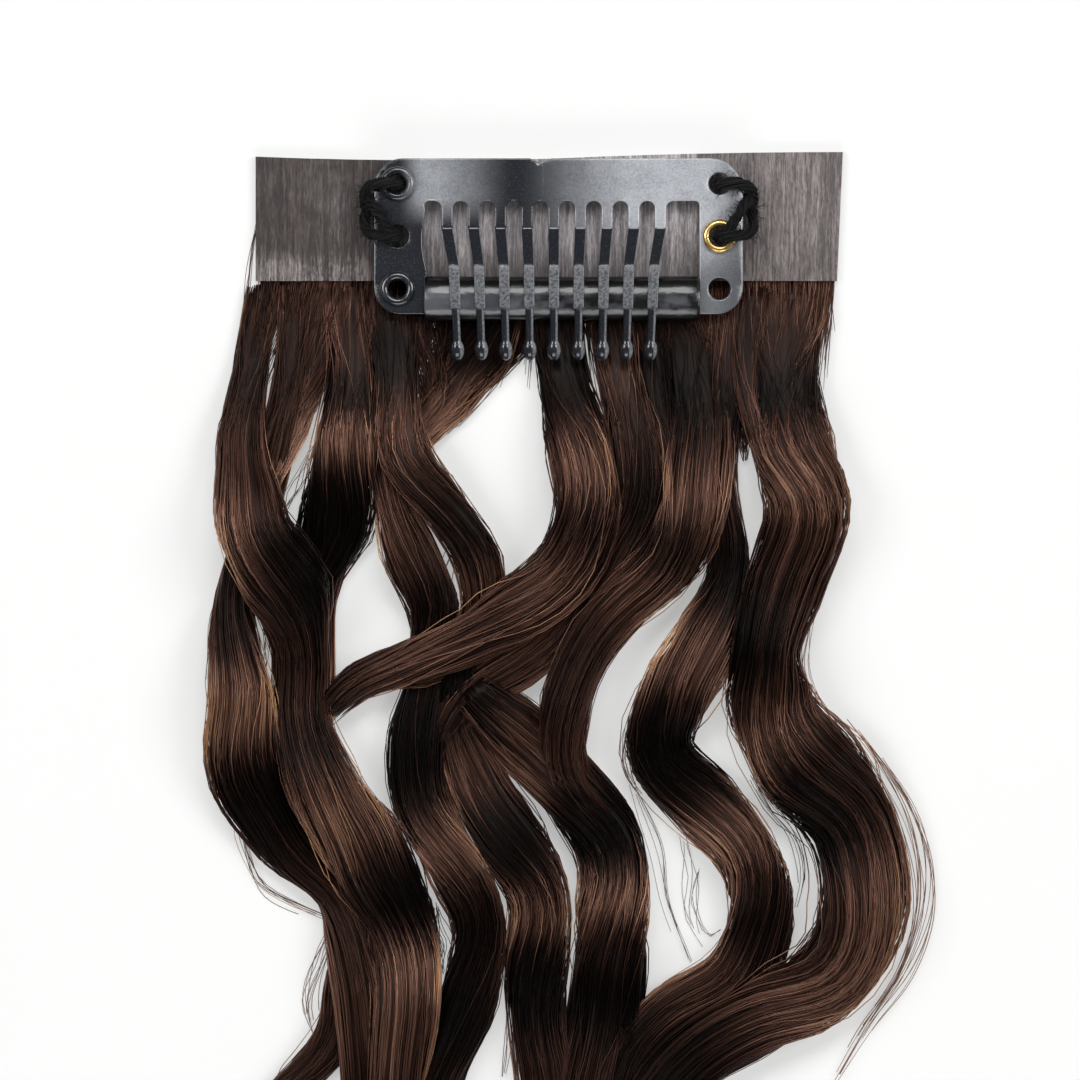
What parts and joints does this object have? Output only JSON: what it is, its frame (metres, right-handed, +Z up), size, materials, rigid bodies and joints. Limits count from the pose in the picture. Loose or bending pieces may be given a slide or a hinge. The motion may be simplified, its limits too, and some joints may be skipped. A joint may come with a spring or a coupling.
{
  "type": "clip in hair extension",
  "caption": "Short weft of wavy brown hair set in a strip of clear film, with a black snap comb clip and its rubber tube sewn on, lying flat.",
  "frame": {"origin": "middle of the weft strip's underside, on the surface that the piece lies on", "axes": "+X along the weft strip, +Y from the hair towards the strip's free top edge, +Z up, out of the clip's side"},
  "size_m": [0.0611, 0.1011, 0.0063],
  "materials": {
    "film": "satin clear film with the hair's straight ends showing through it",
    "hair": "dark brown strands with a soft gloss",
    "clip_paint": "satin black paint, worn on the teeth",
    "rubber": "smooth and glossy",
    "eyelet_black": "gloss black",
    "eyelet_brass": "polished",
    "thread": "fuzzy black cotton"
  },
  "bodies": {
    "weft": {"weft_tape": "film", "hair": "hair", "clip_frame": "clip_paint", "rubber_tube": "rubber", "eyelet_upper_left": "eyelet_black", "eyelet_lower_left": "eyelet_black", "eyelet_right": "eyelet_brass", "stitch_left": "thread", "stitch_right": "thread"},
    "comb": {"comb": "clip_paint"}
  },
  "joints": [
    {"name": "clip_snap", "type": "hinge", "parent": "weft", "child": "comb", "pos_m": [0.0008, 0.0049, 0.00235], "axis": [-1, 0, 0], "range_deg": [0, 28]}
  ]
}
